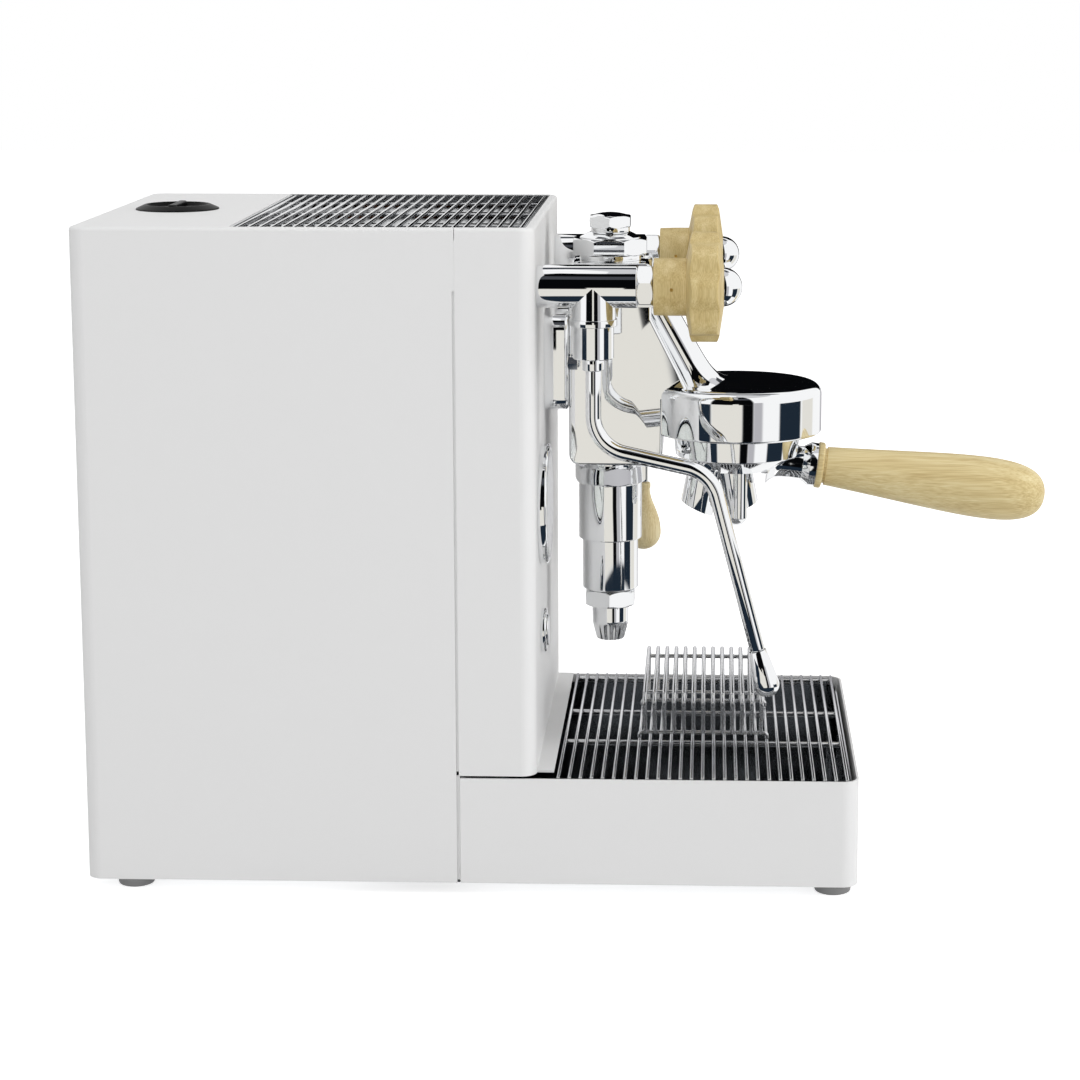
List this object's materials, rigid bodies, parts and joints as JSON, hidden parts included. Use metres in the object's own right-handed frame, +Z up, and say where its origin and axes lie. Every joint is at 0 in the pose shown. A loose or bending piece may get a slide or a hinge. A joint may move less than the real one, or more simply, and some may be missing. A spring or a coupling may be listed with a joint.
{
  "type": "espresso machine",
  "caption": "Box-shaped espresso machine with a chromed lever group, wooden valve knobs, swivelling wands, bayonet portafilter, cup warmer and a wire-topped drip drawer.",
  "frame": {"origin": "on the ground under the middle of the machine's overall length, handle included", "axes": "+Z up, the front with the group and handle looks towards -Y, X runs across the machine"},
  "size_m": [0.228, 0.522, 0.3629],
  "materials": {
    "white_paint": "smooth satin powder coat",
    "chrome": "polished chrome on brass",
    "pale_wood": "oiled pale hardwood",
    "stainless_steel": "bright stainless steel",
    "zinc_steel": "zinc-plated sheet",
    "grey_rubber": "matt moulded rubber",
    "black_plastic": "fine-grained black plastic",
    "tank_plastic": "milky plastic",
    "copper": "drawn copper",
    "brass": "machined brass",
    "dial_enamel": "white printed dial",
    "needle_paint": "black enamel",
    "clear_glass": "flat clear glass"
  },
  "bodies": {
    "machine": {"base_frame": "zinc_steel", "feet": "grey_rubber", "housing": "white_paint", "front_panel": "white_paint", "cup_tray": "stainless_steel", "water_tank": "tank_plastic", "boiler": "copper", "boiler_flange": "brass", "heating_element": "brass", "boiler_cradle": "zinc_steel", "pump": "black_plastic", "control_box": "black_plastic", "group_pipes": "copper", "power_inlet": "black_plastic", "steam_valve": "chrome", "water_valve": "chrome", "gland_nuts": "chrome", "group_body": "chrome", "group_bolts": "chrome", "group_gasket": "grey_rubber", "shower_screen": "stainless_steel", "top_nut": "chrome", "top_cap": "chrome", "lower_chamber": "chrome", "drain_nozzle": "chrome", "lever_boss": "chrome", "gauge_case": "chrome", "gauge_dial": "dial_enamel", "gauge_lens": "clear_glass", "button_bezel": "chrome"},
    "lever": {"lever_shaft": "chrome", "lever_rod": "chrome", "lever_knob": "pale_wood"},
    "steam_knob": {"steam_knob": "pale_wood", "steam_stem": "stainless_steel", "steam_knob_cap": "chrome", "steam_knob_screw": "brass"},
    "water_knob": {"water_knob": "pale_wood", "water_stem": "stainless_steel", "water_knob_cap": "chrome", "water_knob_screw": "brass"},
    "steam_wand": {"steam_wand_pipe": "chrome", "steam_wand_tip": "chrome"},
    "water_wand": {"water_wand_pipe": "chrome", "water_wand_tip": "chrome"},
    "portafilter": {"portafilter_bowl": "chrome", "filter_basket": "stainless_steel", "portafilter_spout": "chrome", "portafilter_ferrule": "chrome", "portafilter_handle": "pale_wood"},
    "drip_tray": {"tray_box": "white_paint", "tray_pan": "stainless_steel"},
    "tray_grid": {"tray_grid": "stainless_steel"},
    "cup_stand": {"cup_stand": "stainless_steel"},
    "cup_grate": {"cup_grate": "stainless_steel"},
    "tank_cap": {"tank_cap": "black_plastic"},
    "gauge_needle": {"gauge_needle": "needle_paint"},
    "power_button": {"power_button": "chrome"}
  },
  "joints": [
    {"name": "lever_turn", "type": "hinge", "parent": "machine", "child": "lever", "pos_m": [0.062, -0.0344, 0.245], "axis": [-1, 0, 0], "range_deg": [0, 70]},
    {"name": "steam_knob_turn", "type": "hinge", "parent": "machine", "child": "steam_knob", "pos_m": [-0.085, -0.052, 0.3256], "axis": [0, -1, 0], "range_deg": [0, 270]},
    {"name": "water_knob_turn", "type": "hinge", "parent": "machine", "child": "water_knob", "pos_m": [0.085, -0.052, 0.3256], "axis": [0, -1, 0], "range_deg": [0, 270]},
    {"name": "steam_wand_swivel", "type": "hinge", "parent": "machine", "child": "steam_wand", "pos_m": [-0.085, -0.0116, 0.26], "axis": [0, 0, 1], "range_deg": [-60, 5]},
    {"name": "water_wand_swivel", "type": "hinge", "parent": "machine", "child": "water_wand", "pos_m": [0.085, -0.0116, 0.26], "axis": [0, 0, 1], "range_deg": [0, 60]},
    {"name": "portafilter_turn", "type": "hinge", "parent": "machine", "child": "portafilter", "pos_m": [0, -0.0883, 0.24], "axis": [0, 0, 1], "range_deg": [-45, 0]},
    {"name": "drip_tray_slide", "type": "slide", "parent": "machine", "child": "drip_tray", "axis": [0, -1, 0], "range_m": [0, 0.15]},
    {"name": "tray_grid_lift", "type": "slide", "parent": "drip_tray", "child": "tray_grid", "axis": [0, 0, 1], "range_m": [0, 0.03]},
    {"name": "cup_stand_lift", "type": "slide", "parent": "tray_grid", "child": "cup_stand", "axis": [0, 0, 1], "range_m": [0, 0.04]},
    {"name": "cup_grate_lift", "type": "slide", "parent": "machine", "child": "cup_grate", "axis": [0, 0, 1], "range_m": [0, 0.03]},
    {"name": "tank_cap_lift", "type": "slide", "parent": "machine", "child": "tank_cap", "axis": [0, 0, 1], "range_m": [0, 0.03]},
    {"name": "power_button_press", "type": "slide", "parent": "machine", "child": "power_button", "axis": [0, 1, 0], "range_m": [0, 0.002], "stiffness_N_per_m": 300},
    {"name": "gauge_needle_turn", "type": "hinge", "parent": "machine", "child": "gauge_needle", "pos_m": [-0.058, 0.018, 0.204], "axis": [0, 1, 0], "range_deg": [0, 270], "stiffness_Nm_per_rad": 0.001}
  ]
}
